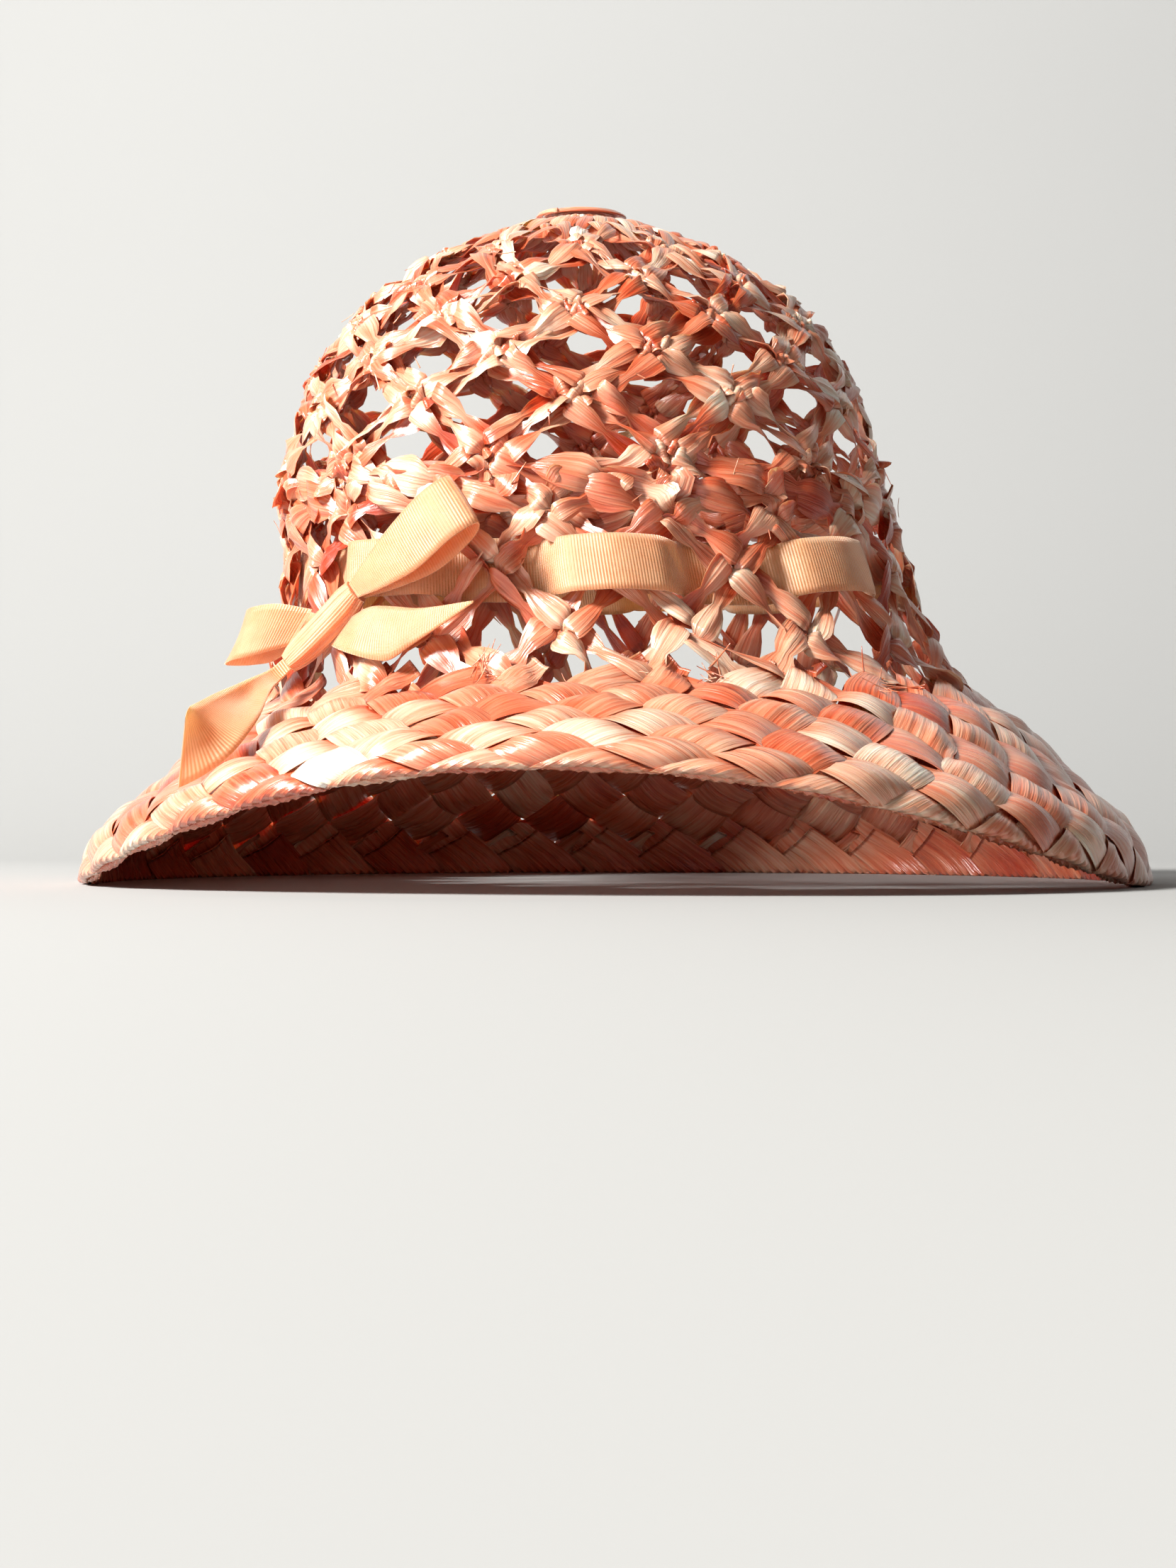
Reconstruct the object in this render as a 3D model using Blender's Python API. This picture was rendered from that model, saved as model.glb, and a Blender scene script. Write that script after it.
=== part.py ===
# A plaited straw sun hat: openwork crown, close-plaited brim, and a ribbon woven through the
# openwork and tied in a bow. Metres, +Z up. The hat rests on its hem, the origin is on the
# floor under the middle of the hem, and the wearer's front looks along -Y.
import math

import bmesh
import bpy
import numpy as np
from mathutils import Vector

# Overall sizes of the hat
HAT_HEIGHT = 0.193            # floor to the tip of the crown
HEM_HALF_WIDTH = 0.150        # hem, middle to side
HEM_HALF_DEPTH = 0.1655       # hem, middle to front or back
BRIM_ROOT_HEIGHT = 0.0515     # where the close-plaited brim meets the openwork
CROWN_HALF_WIDTH = 0.090      # outside of the crown at the ribbon
CROWN_HALF_DEPTH = 0.098
CROWN_LEAN = 0.0094           # sideways lean of the crown, towards the bow
CROWN_NOD = 0.0765            # drop of the crown's rows towards the front, per metre of depth

# The hem lies on the floor, and only its front is turned up
FRONT_LIFT = 0.0295
LIFT_MIDDLE = math.radians(-6)
LIFT_REACH = math.radians(80)
# The brim's root hangs lower under the bow, and evens out up to the ribbon
ROOT_SAG = 0.007
SAG_MIDDLE = math.radians(-90)
SAG_REACH = math.radians(80)

# Straw and ribbon
NET_THICKNESS = 0.0040
BRIM_THICKNESS = 0.0030
HEM_THICKNESS = 0.0040
PLAIT_RELIEF = 0.0007         # how far the crossings stand proud
CLEARANCE = 0.0003            # between touching pieces
RIBBON_WIDTH = 0.0155
RIBBON_THICKNESS = 0.0010
RIBBON_CLEARANCE = 0.0012     # between the ribbon and the straw it is woven through
RIBBON_BULGE = 0.0015         # how far a stretch of ribbon bows out between its holes

# The plait: strands run both ways round the hat and cross once a row. Rows count up from
# the hem, places round the hat count in strands, and the front of the hat is place 0.
STRANDS = 36
PATTERN_TURN = 0.83           # turns the whole plait round, in strands
TOP_TURN = -0.39              # turns the rows above the regrouping row further, in strands
TOP_TURN_ROWS = (12.8, 15.0)  # where that turn begins and where it is whole
ROOT_ROW = 6.0
RIBBON_ROW = 10.0
REGROUP_ROW = 14.0            # a close row where pairs of strands regroup into threes
CLOSE_ROW = 33.0              # the openwork ends and the close tip begins
TIP_ROW = 36.0

# Section of the brim, from the root down to the hem
BRIM_SECTION = (
    # along, out, down
    (0.00, 0.000, 0.000),
    (0.24, 0.300, 0.180),
    (0.43, 0.505, 0.375),
    (0.65, 0.750, 0.580),
    (0.81, 0.915, 0.745),
    (0.91, 0.980, 0.870),
    (1.00, 1.000, 1.000),
)
# Section of the crown, from the brim's root up to the tip
CROWN_SECTION = (
    # row, up, out, lean, nod
    (6.0, 0.000, 1.165, 0.10, 0.00),
    (7.0, 0.058, 1.104, 0.20, 0.20),
    (8.0, 0.120, 1.060, 0.31, 0.45),
    (10.0, 0.261, 1.000, 0.54, 0.95),
    (12.0, 0.353, 0.984, 0.76, 1.00),
    (16.0, 0.463, 0.955, 0.97, 1.00),
    (19.0, 0.572, 0.912, 1.00, 1.00),
    (22.0, 0.654, 0.857, 1.00, 1.00),
    (25.0, 0.735, 0.782, 1.00, 1.00),
    (28.0, 0.808, 0.678, 1.00, 1.00),
    (31.0, 0.884, 0.508, 1.00, 1.00),
    (33.0, 0.942, 0.325, 1.00, 1.00),
    (35.0, 0.988, 0.110, 1.00, 1.00),
    (36.0, 1.000, 0.000, 1.00, 1.00),
)
# Rows of openings. Pitch is in strands, the hole's shares are of the pitch and of the row
# step, and a squarer hole has a higher power. Squeeze draws a hole's shoulders to its middle.
OPEN_ROWS = (
    # row, pitch, step, hole width, hole height, power, squeeze, every
    (8.0, 2, 2.0, 0.53, 0.54, 1.7, 1.00, 1),
    (10.0, 2, 2.0, 0.52, 0.54, 5.0, 0.22, 1),
    (12.0, 2, 2.0, 0.46, 0.50, 1.7, 1.00, 1),
    (16.0, 3, 3.0, 0.55, 0.52, 1.7, 1.00, 1),
    (19.0, 3, 3.0, 0.55, 0.54, 1.7, 1.00, 1),
    (22.0, 3, 3.0, 0.54, 0.54, 1.7, 1.00, 1),
    (25.0, 3, 3.0, 0.52, 0.52, 1.7, 1.00, 1),
    (28.0, 3, 3.0, 0.48, 0.50, 1.7, 1.00, 1),
    (31.0, 3, 3.0, 0.42, 0.46, 1.7, 1.00, 2),
)
CELL_SHOULDER = 0.27          # half the upright side of a cell, as a share of the row step
NOTCH_RISE = 0.8              # the notches along the crown's lower edge, against its first holes
REGROUP_SPACING = 0.5         # mesh points along the two close rows, in strands
CLOSE_SPACING = 1.5

# The ribbon runs over even patches and under odd ones, but stays under these at the sides
SIDE_PATCHES = (6, 16)
# The ribbon on each stretch from one patch to the next
RIBBON_STATIONS = (
    # along in strands, share of the width
    (0.0, 1.00),
    (0.3, 1.00),
    (0.6, 0.90),
    (1.0, 0.90),
    (1.4, 0.90),
    (1.7, 1.00),
)

# The bow is tied over one patch of the net. Its own axes run along the hat (towards the
# front), up, and out of the hat, and its tables are shares of its reach. The knot's table
# starts from the patch, those of the loops and tails from their place on the knot. Tilt turns
# the ribbon's edge line from upright towards the front, turn swings it outwards, both in
# degrees, and wide is the share of the ribbon's width.
BOW_PLACE = -4.5
BOW_ROW = 9.0
BOW_REACH = 0.050
KNOT_HALF_WIDTH = 0.0046
KNOT_HALF_DEPTH = 0.0034
KNOT_SIDES = 10
BOW_STEPS = 3                 # mesh steps between two stations of a bow table

KNOT = (
    # along, up, out, size
    (-0.090, 0.020, -0.030, 0.55),
    (-0.150, -0.035, -0.022, 0.90),
    (-0.240, -0.110, -0.010, 1.00),
    (-0.360, -0.215, 0.018, 1.00),
    (-0.440, -0.285, 0.043, 0.90),
    (-0.490, -0.330, 0.063, 0.55),
)
FRONT_LOOP = (
    # along, up, out, tilt, turn, wide
    (0.000, 0.000, 0.022, -42, 0, 0.32),
    (0.200, 0.068, 0.085, -38, 0, 0.48),
    (0.430, 0.182, 0.110, -36, 0, 0.80),
    (0.630, 0.333, 0.080, -37, 0, 0.97),
    (0.720, 0.405, -0.005, -38, 0, 1.00),
    (0.635, 0.345, -0.070, -37, 0, 1.00),
    (0.430, 0.200, -0.045, -36, 0, 0.98),
    (0.210, 0.090, -0.008, -36, 0, 0.72),
    (0.000, 0.000, -0.022, -42, 0, 0.32),
)
BACK_LOOP = (
    # along, up, out, tilt, turn, wide
    (0.000, 0.000, 0.024, 46, 0, 0.45),
    (-0.174, -0.008, 0.110, 36, 0, 0.95),
    (-0.334, -0.023, 0.125, 32, 0, 1.05),
    (-0.454, -0.038, 0.050, 32, 0, 1.05),
    (-0.354, -0.038, -0.040, 32, 0, 1.05),
    (-0.184, -0.023, -0.050, 36, 0, 0.95),
    (0.000, 0.000, -0.024, 46, 0, 0.45),
)
FRONT_TAIL = (
    # along, up, out, tilt, turn, wide
    (0.000, 0.000, 0.000, 48, 0, 0.45),
    (0.174, -0.008, 0.040, 20, -12, 0.75),
    (0.304, -0.026, 0.040, 3, -12, 0.88),
    (0.404, -0.032, 0.035, 0, -12, 0.88),
    (0.534, -0.005, 0.025, 0, -10, 0.60),
    (0.674, 0.031, 0.015, 0, -8, 0.37),
    (0.916, 0.097, 0.010, 0, 0, 0.03),
)
BACK_TAIL = (
    # along, up, out, tilt, turn, wide
    (0.000, -0.003, 0.002, -42, 0, 0.25),
    (-0.012, -0.072, 0.090, -50, 6, 0.27),
    (0.085, -0.135, 0.290, -74, 28, 0.36),
    (0.220, -0.245, 0.550, -80, 38, 0.68),
    (0.280, -0.350, 0.740, -66, 33, 0.76),
    (0.265, -0.420, 0.830, -40, 20, 0.84),
    (0.215, -0.490, 0.905, -12, 3, 0.98),
)
# Where each of them leaves the knot: share of the knot's length from its upper end, and the
# knot's front side (1), back side (-1) or end (0)
FRONT_LOOP_ROOT = (0.0, 0)
BACK_LOOP_ROOT = (0.6, -1)
FRONT_TAIL_ROOT = (0.4, 1)
BACK_TAIL_ROOT = (1.0, 0)

STRAW_PINK = (0.72, 0.36, 0.27, 1.0)
RIBBON_PEACH = (0.93, 0.66, 0.43, 1.0)


def clear_scene():
    for thing in list(bpy.data.objects):
        bpy.data.objects.remove(thing, do_unlink=True)


def make_material(name, colour, roughness):
    material = bpy.data.materials.new(name)
    material.use_nodes = True
    shader = material.node_tree.nodes["Principled BSDF"]
    shader.inputs["Base Color"].default_value = colour
    shader.inputs["Roughness"].default_value = roughness
    shader.inputs["Metallic"].default_value = 0.0
    return material


def curve_through(table, column):
    # A smooth curve through one column of a section table, read by the table's first column.
    keys = np.array([line[0] for line in table])
    values = np.array([line[column] for line in table])
    slopes = np.gradient(values, keys)

    def read(key):
        key = min(max(key, keys[0]), keys[-1])
        i = min(int(np.searchsorted(keys, key, side="right")) - 1, len(keys) - 2)
        span = keys[i + 1] - keys[i]
        s = (key - keys[i]) / span
        start = (1 + 2 * s) * (1 - s) ** 2 * values[i] + s * (1 - s) ** 2 * span * slopes[i]
        end = s * s * (3 - 2 * s) * values[i + 1] - s * s * (1 - s) * span * slopes[i + 1]
        return start + end

    return read


brim_out = curve_through(BRIM_SECTION, 1)
brim_down = curve_through(BRIM_SECTION, 2)
crown_up = curve_through(CROWN_SECTION, 1)
crown_out = curve_through(CROWN_SECTION, 2)
crown_lean = curve_through(CROWN_SECTION, 3)
crown_nod = curve_through(CROWN_SECTION, 4)


def ease(value, start, end):
    # Runs smoothly from 0 at the start to 1 at the end.
    share = min(max((value - start) / (end - start), 0.0), 1.0)
    return share * share * (3 - 2 * share)


def swell(angle, middle, reach):
    # 1 at the middle of a stretch round the hat, falling smoothly to 0 at its reach.
    away = abs((angle - middle + math.pi) % (2 * math.pi) - math.pi)
    return (1 + math.cos(math.pi * min(away / reach, 1.0))) / 2


def angle_of(place, row):
    turn = PATTERN_TURN + TOP_TURN * ease(row, *TOP_TURN_ROWS)
    return 2 * math.pi * (place + turn) / STRANDS


def crown_skin(angle, row):
    out = crown_out(row)
    x = CROWN_HALF_WIDTH * out * math.sin(angle) - CROWN_LEAN * crown_lean(row)
    y = -CROWN_HALF_DEPTH * out * math.cos(angle)
    z = BRIM_ROOT_HEIGHT + (HAT_HEIGHT - BRIM_ROOT_HEIGHT) * crown_up(row)
    z -= ROOT_SAG * swell(angle, SAG_MIDDLE, SAG_REACH) * (1 - ease(row, ROOT_ROW, RIBBON_ROW))
    return Vector((x, y, z + CROWN_NOD * crown_nod(row) * y))


def hem_lift(angle):
    return FRONT_LIFT * swell(angle, LIFT_MIDDLE, LIFT_REACH)


def brim_skin(angle, row):
    along = 1 - row / ROOT_ROW
    root = crown_skin(angle, ROOT_ROW)
    hem = Vector((HEM_HALF_WIDTH * math.sin(angle), -HEM_HALF_DEPTH * math.cos(angle), 0))
    point = root.lerp(hem, brim_out(along))
    point.z = root.z - (root.z - hem_lift(angle)) * brim_down(along)
    return point


def skin(place, row):
    angle = angle_of(place, row)
    if row >= ROOT_ROW:
        return crown_skin(angle, row)
    return brim_skin(angle, row)


def skin_normal(place, row):
    # Points out of the hat. The step is wide enough to round off the turn at the brim's root.
    if row > TIP_ROW - 0.5:
        return Vector((0, 0, 1))
    low, high = max(row - 0.4, 0.0), min(row + 0.4, TIP_ROW - 0.3)
    up = skin(place, high) - skin(place, low)
    round_hat = skin(place + 0.3, row) - skin(place - 0.3, row)
    return round_hat.cross(up).normalized()


def shell_point(place, row, depth):
    return skin(place, row) - depth * skin_normal(place, row)


def row_length(place, row):
    # Length of one row along the hat, from root to tip, at a place.
    return (skin(place, row + 0.1) - skin(place, row)).length / 0.1


def close_shell(name, faces, outside, inside, material):
    # Makes a solid of a skin: the faces outside, the same faces inside, and a wall along each
    # edge that only one face has.
    mesh = bmesh.new()
    outer = {key: mesh.verts.new(outside(*key)) for key in sorted({k for f in faces for k in f})}
    inner = {key: mesh.verts.new(inside(*key)) for key in outer}
    edges = {}
    for face in faces:
        mesh.faces.new([outer[key] for key in face])
        mesh.faces.new([inner[key] for key in reversed(face)])
        for start, end in zip(face, face[1:] + face[:1]):
            edges[(start, end)] = True
    for start, end in edges:
        if (end, start) not in edges:
            mesh.faces.new([outer[end], outer[start], inner[start], inner[end]])
    bmesh.ops.recalc_face_normals(mesh, faces=mesh.faces)
    return add_piece(name, mesh, material)


def add_piece(name, mesh, material):
    data = bpy.data.meshes.new(name)
    mesh.to_mesh(data)
    mesh.free()
    data.shade_smooth()
    data.set_sharp_from_angle(angle=math.radians(35))
    data.materials.append(material)
    piece = bpy.data.objects.new(name, data)
    bpy.context.scene.collection.objects.link(piece)
    return piece


def patch_place(row, pitch):
    # Place of one crossing patch in a row: pairs of strands low on the crown, threes above.
    if pitch == 2:
        return 0.5 + row / 2
    return 2.0 + row / 2


def close_points(middle, pitch, spacing, row):
    # Points of a close row, right to left over one cell.
    steps = round(pitch / spacing)
    return [(middle + pitch / 2 - i * spacing, row) for i in range(steps + 1)]


def zigzag_points(middle, pitch, shoulder, peak):
    half = pitch / 2
    return [(middle + half, shoulder), (middle, peak), (middle - half, shoulder)]


def cell_outline(middle, row, pitch, step):
    # Outline of one cell of the net round a hole, anticlockwise from its right-hand middle.
    # A cell beside a close row ends on that row.
    half = pitch / 2
    shoulder = CELL_SHOULDER * step
    peak = step - shoulder
    above = zigzag_points(middle, pitch, row + shoulder, row + peak)
    below = zigzag_points(middle, pitch, row - shoulder, row - peak)
    if row == REGROUP_ROW - 2:
        above = close_points(middle, pitch, REGROUP_SPACING, REGROUP_ROW)
    if row == REGROUP_ROW + 2:
        below = close_points(middle, pitch, REGROUP_SPACING, REGROUP_ROW)
    if row == CLOSE_ROW - 2:
        above = close_points(middle, pitch, CLOSE_SPACING, CLOSE_ROW)
    return [(middle + half, row)] + above + [(middle - half, row)] + below[::-1]


def hole_outline(outline, middle, row, half_wide, half_high, power, squeeze):
    # The hole's own outline has one point for each point of the cell's, in the same direction.
    points = []
    for place, at in outline:
        across, up = place - middle, at - row
        if up != 0:
            across *= squeeze
        reach = (abs(across / half_wide) ** power + abs(up / half_high) ** power) ** (1 / power)
        points.append((middle + across / reach, row + up / reach))
    return points


def round_key(place, row):
    # Places repeat after a full turn, so a point at the seam gets one key.
    return (round(place % STRANDS, 5) % STRANDS, round(row, 5))


def ring_faces(outline, hole):
    faces = []
    for i in range(len(outline)):
        j = (i + 1) % len(outline)
        faces.append([round_key(*p) for p in (outline[i], outline[j], hole[j], hole[i])])
    return faces


def net_faces():
    faces = []
    for row, pitch, step, wide, high, power, squeeze, every in OPEN_ROWS:
        for i in range(STRANDS // pitch):
            middle = patch_place(row, pitch) + pitch * (i + 0.5)
            outline = cell_outline(middle, row, pitch, step)
            if i % every == 0:
                hole = hole_outline(outline, middle, row, wide * pitch / 2, high * step, power, squeeze)
                faces += ring_faces(outline, hole)
            else:
                keys = [round_key(*p) for p in outline]
                centre = round_key(middle, row)
                faces += [[a, b, centre] for a, b in zip(keys, keys[1:] + keys[:1])]
    return faces


def root_faces():
    # The lowest row of the net: half cells round notches that the brim's edge closes.
    _, pitch, step, wide, high, power, squeeze, _ = OPEN_ROWS[0]
    shoulder = CELL_SHOULDER * step
    half = pitch / 2
    faces = []
    for i in range(STRANDS // pitch):
        middle = patch_place(ROOT_ROW, pitch) + pitch * (i + 0.5)
        zigzag = zigzag_points(middle, pitch, ROOT_ROW + shoulder, ROOT_ROW + step - shoulder)
        outline = [(middle + half, ROOT_ROW)] + zigzag + [(middle - half, ROOT_ROW)]
        rise = NOTCH_RISE * high * step
        notch = hole_outline(outline, middle, ROOT_ROW, wide * pitch / 2, rise, power, squeeze)
        for a in range(len(outline) - 1):
            quad = (outline[a], outline[a + 1], notch[a + 1], notch[a])
            faces.append([round_key(*p) for p in quad])
    return faces


def tip_faces():
    faces = []
    start = patch_place(CLOSE_ROW - 2, 3)
    rings = (CLOSE_ROW, CLOSE_ROW + 1, CLOSE_ROW + 2)
    tip = round_key(0, TIP_ROW)
    for i in range(round(STRANDS / CLOSE_SPACING)):
        left = start + i * CLOSE_SPACING
        right = left + CLOSE_SPACING
        for low, high in zip(rings, rings[1:]):
            corners = ((left, low), (right, low), (right, high), (left, high))
            faces.append([round_key(*p) for p in corners])
        faces.append([round_key(left, rings[-1]), round_key(right, rings[-1]), tip])
    return faces


def build_crown(material):
    patches = set()
    for row, pitch, *_ in OPEN_ROWS:
        for i in range(STRANDS // pitch):
            patches.add(round_key(patch_place(row, pitch) + pitch * i, row))

    def outside(place, row):
        proud = PLAIT_RELIEF if (place, row) in patches else 0.0
        return shell_point(place, row, -proud)

    def inside(place, row):
        return shell_point(place, row, NET_THICKNESS)

    return close_shell("crown", net_faces() + root_faces() + tip_faces(), outside, inside, material)


def build_brim(material):
    around = 2 * STRANDS
    rows = int(ROOT_ROW)

    def level(place, step):
        # The top edge keeps the clearance to the crown.
        if step < rows:
            return float(step)
        return ROOT_ROW - CLEARANCE / row_length(place, ROOT_ROW)

    def outside(i, step):
        place = i / 2
        crossing = (i - step) % 2 == 0 and 0 < step < rows
        return shell_point(place, level(place, step), -PLAIT_RELIEF if crossing else 0.0)

    def inside(i, step):
        # The hem's underside is level, so that the hat stands on flat faces.
        place = i / 2
        if step > 0:
            return shell_point(place, level(place, step), BRIM_THICKNESS)
        hem = skin(place, 0)
        flat = Vector((hem.x, hem.y, 0))
        return hem - flat.normalized() * HEM_THICKNESS

    faces = []
    for i in range(around):
        for step in range(rows):
            j = (i + 1) % around
            faces.append([(i, step), (j, step), (j, step + 1), (i, step + 1)])
    return close_shell("brim", faces, outside, inside, material)


def runs_over(patch):
    patch %= STRANDS // 2
    return patch % 2 == 0 and patch not in SIDE_PATCHES


def ribbon_depth(patch, along):
    # Depth of the ribbon's middle below the straw's outside. It changes sides in the middle of
    # a hole, and bows out where it runs over a patch, but not under the bow.
    over = -(PLAIT_RELIEF + RIBBON_CLEARANCE + RIBBON_THICKNESS / 2)
    under = NET_THICKNESS + RIBBON_CLEARANCE + RIBBON_THICKNESS / 2
    if along == 1.0 and runs_over(patch) != runs_over(patch + 1):
        return (over + under) / 2
    nearest = patch + round(along / 2)
    if not runs_over(nearest):
        return under
    if ribbon_patch_place(nearest) % STRANDS == BOW_PLACE % STRANDS:
        return over
    away = min(along, 2 - along)
    return over - RIBBON_BULGE * math.cos(away * math.pi / 2) ** 2


def ribbon_patch_place(patch):
    return BOW_PLACE + 2 * patch


def build_ribbon_band(material):
    stations = [(patch, *line) for patch in range(STRANDS // 2) for line in RIBBON_STATIONS]

    def point(i, side, offset):
        patch, along, wide = stations[i]
        place = ribbon_patch_place(patch) + along
        row_step = (skin(place, RIBBON_ROW + 1) - skin(place, RIBBON_ROW - 1)).length / 2
        row = RIBBON_ROW + side * wide * RIBBON_WIDTH / 2 / row_step
        return shell_point(place, row, ribbon_depth(patch, along) + offset)

    def outside(i, side):
        return point(i, side, -RIBBON_THICKNESS / 2)

    def inside(i, side):
        return point(i, side, RIBBON_THICKNESS / 2)

    count = len(stations)
    faces = [[(i, -1), ((i + 1) % count, -1), ((i + 1) % count, 1), (i, 1)] for i in range(count)]
    return close_shell("ribbon_band", faces, outside, inside, material)


def bow_vector(along, up, out):
    # A step in the bow's own axes.
    out_axis = skin_normal(BOW_PLACE, BOW_ROW)
    out_axis.z = 0
    out_axis.normalize()
    up_axis = Vector((0, 0, 1))
    return along * up_axis.cross(out_axis) + up * up_axis + out * out_axis


def edge_direction(tilt, turn):
    tilt, turn = math.radians(tilt), math.radians(turn)
    flat = math.cos(turn)
    return bow_vector(flat * math.sin(tilt), flat * math.cos(tilt), math.sin(turn))


def read_table(table):
    # Reads a bow table at even steps, along smooth curves through its stations.
    numbered = [(i, *line) for i, line in enumerate(table)]
    columns = [curve_through(numbered, column) for column in range(1, len(numbered[0]))]
    count = (len(table) - 1) * BOW_STEPS
    return [[float(column(i / BOW_STEPS)) for column in columns] for i in range(count + 1)]


def knot_frames():
    # The knot's middle, run, side and size at each of its steps. It lies on the ribbon band.
    band = -(PLAIT_RELIEF + RIBBON_CLEARANCE + RIBBON_THICKNESS + CLEARANCE)
    start = shell_point(BOW_PLACE, BOW_ROW, band) + bow_vector(0, 0, KNOT_HALF_DEPTH)
    stations = read_table(KNOT)
    middles = [start + BOW_REACH * bow_vector(*line[:3]) for line in stations]
    frames = []
    for i, middle in enumerate(middles):
        before, after = max(i - 1, 0), min(i + 1, len(middles) - 1)
        run = (middles[after] - middles[before]).normalized()
        side = bow_vector(0, 0, 1).cross(run).normalized()
        frames.append((middle, run, side, stations[i][3]))
    return frames


def knot_root(share, face):
    # The place on the knot's surface where a loop or a tail leaves it.
    frames = knot_frames()
    middle, run, side, size = frames[round(share * (len(frames) - 1))]
    gap = CLEARANCE + RIBBON_THICKNESS / 4
    if face == 0:
        return middle + run * (gap if share == 1.0 else -gap)
    return middle + face * side * (KNOT_HALF_WIDTH * size + gap)


def build_bow_strip(name, table, root, material):
    stations = read_table(table)
    start = knot_root(*root)
    middles = [start + BOW_REACH * bow_vector(*line[:3]) for line in stations]
    edges = [edge_direction(*line[3:5]) * (line[5] * RIBBON_WIDTH / 2) for line in stations]

    def point(i, side, offset):
        before, after = max(i - 1, 0), min(i + 1, len(middles) - 1)
        normal = (middles[after] - middles[before]).cross(edges[i]).normalized()
        return middles[i] + side * edges[i] + offset * normal

    def outside(i, side):
        return point(i, side, RIBBON_THICKNESS / 2)

    def inside(i, side):
        return point(i, side, -RIBBON_THICKNESS / 2)

    faces = [[(i, -1), (i + 1, -1), (i + 1, 1), (i, 1)] for i in range(len(stations) - 1)]
    return close_shell(name, faces, outside, inside, material)


def build_bow_knot(material):
    # A puffed wrap along the bow's slant, oval in section and closed at both ends.
    mesh = bmesh.new()
    rings = []
    for middle, run, side, size in knot_frames():
        lift = run.cross(side)
        ring = []
        for k in range(KNOT_SIDES):
            angle = 2 * math.pi * k / KNOT_SIDES
            wide = side * (math.cos(angle) * KNOT_HALF_WIDTH * size)
            deep = lift * (math.sin(angle) * KNOT_HALF_DEPTH * size)
            ring.append(mesh.verts.new(middle + wide + deep))
        rings.append(ring)
    for low, high in zip(rings, rings[1:]):
        for k in range(KNOT_SIDES):
            j = (k + 1) % KNOT_SIDES
            mesh.faces.new([low[k], low[j], high[j], high[k]])
    mesh.faces.new(rings[0])
    mesh.faces.new(rings[-1])
    bmesh.ops.recalc_face_normals(mesh, faces=mesh.faces)
    return add_piece("bow_knot", mesh, material)


def main():
    clear_scene()
    straw = make_material("straw_pink", STRAW_PINK, 0.45)
    ribbon = make_material("ribbon_peach", RIBBON_PEACH, 0.50)
    build_crown(straw)
    build_brim(straw)
    build_ribbon_band(ribbon)
    build_bow_knot(ribbon)
    build_bow_strip("bow_loop_front", FRONT_LOOP, FRONT_LOOP_ROOT, ribbon)
    build_bow_strip("bow_loop_back", BACK_LOOP, BACK_LOOP_ROOT, ribbon)
    build_bow_strip("bow_tail_front", FRONT_TAIL, FRONT_TAIL_ROOT, ribbon)
    build_bow_strip("bow_tail_back", BACK_TAIL, BACK_TAIL_ROOT, ribbon)


main()
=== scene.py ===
# Looks of the plaited straw sun hat: every strand of the plait, the woven ribbon and its bow.
import math

import bpy
import numpy as np
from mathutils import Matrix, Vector


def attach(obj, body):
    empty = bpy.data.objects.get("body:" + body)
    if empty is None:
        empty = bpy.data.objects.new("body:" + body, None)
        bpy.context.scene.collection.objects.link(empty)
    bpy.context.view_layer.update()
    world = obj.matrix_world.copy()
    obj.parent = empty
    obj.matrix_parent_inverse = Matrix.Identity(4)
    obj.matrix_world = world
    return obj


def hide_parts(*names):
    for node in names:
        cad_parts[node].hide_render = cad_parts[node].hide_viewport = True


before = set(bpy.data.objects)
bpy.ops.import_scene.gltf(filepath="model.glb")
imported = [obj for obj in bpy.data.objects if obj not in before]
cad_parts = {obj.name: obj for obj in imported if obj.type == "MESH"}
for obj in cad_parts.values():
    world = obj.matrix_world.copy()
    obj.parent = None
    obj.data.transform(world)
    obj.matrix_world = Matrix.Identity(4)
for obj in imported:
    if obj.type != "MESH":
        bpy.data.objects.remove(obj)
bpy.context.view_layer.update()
print("frame loaded, nodes:", len(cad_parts))

# Sizes of the hat, in metres, and its plait, as in the CAD model
hat = {
    "height": 0.193, "hemHalfWidth": 0.150, "hemHalfDepth": 0.1655, "rootHeight": 0.0515,
    "crownHalfWidth": 0.090, "crownHalfDepth": 0.098, "lean": 0.0094, "nod": 0.0765,
    "frontLift": 0.0295, "liftMiddle": math.radians(-6), "liftReach": math.radians(80),
    "rootSag": 0.007, "sagMiddle": math.radians(-90), "sagReach": math.radians(80),
    "strands": 36, "turn": 0.83, "topTurn": -0.39, "topTurnRows": (12.8, 15.0),
    "rootRow": 6.0, "ribbonRow": 10.0, "tipRow": 36.0,
    # section tables: brim (along, out, down), crown (row, up, out, lean, nod)
    "brim": (
        (0.00, 0.000, 0.000), (0.24, 0.300, 0.180), (0.43, 0.505, 0.375), (0.65, 0.750, 0.580),
        (0.81, 0.915, 0.745), (0.91, 0.980, 0.870), (1.00, 1.000, 1.000),
    ),
    "crown": (
        (6.0, 0.000, 1.165, 0.10, 0.00), (7.0, 0.058, 1.104, 0.20, 0.20),
        (8.0, 0.120, 1.060, 0.31, 0.45), (10.0, 0.261, 1.000, 0.54, 0.95),
        (12.0, 0.353, 0.984, 0.76, 1.00), (16.0, 0.463, 0.955, 0.97, 1.00),
        (19.0, 0.572, 0.912, 1.00, 1.00), (22.0, 0.654, 0.857, 1.00, 1.00),
        (25.0, 0.735, 0.782, 1.00, 1.00), (28.0, 0.808, 0.678, 1.00, 1.00),
        (31.0, 0.884, 0.508, 1.00, 1.00), (33.0, 0.942, 0.325, 1.00, 1.00),
        (35.0, 0.988, 0.110, 1.00, 1.00), (36.0, 1.000, 0.000, 1.00, 1.00),
    ),
}


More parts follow.
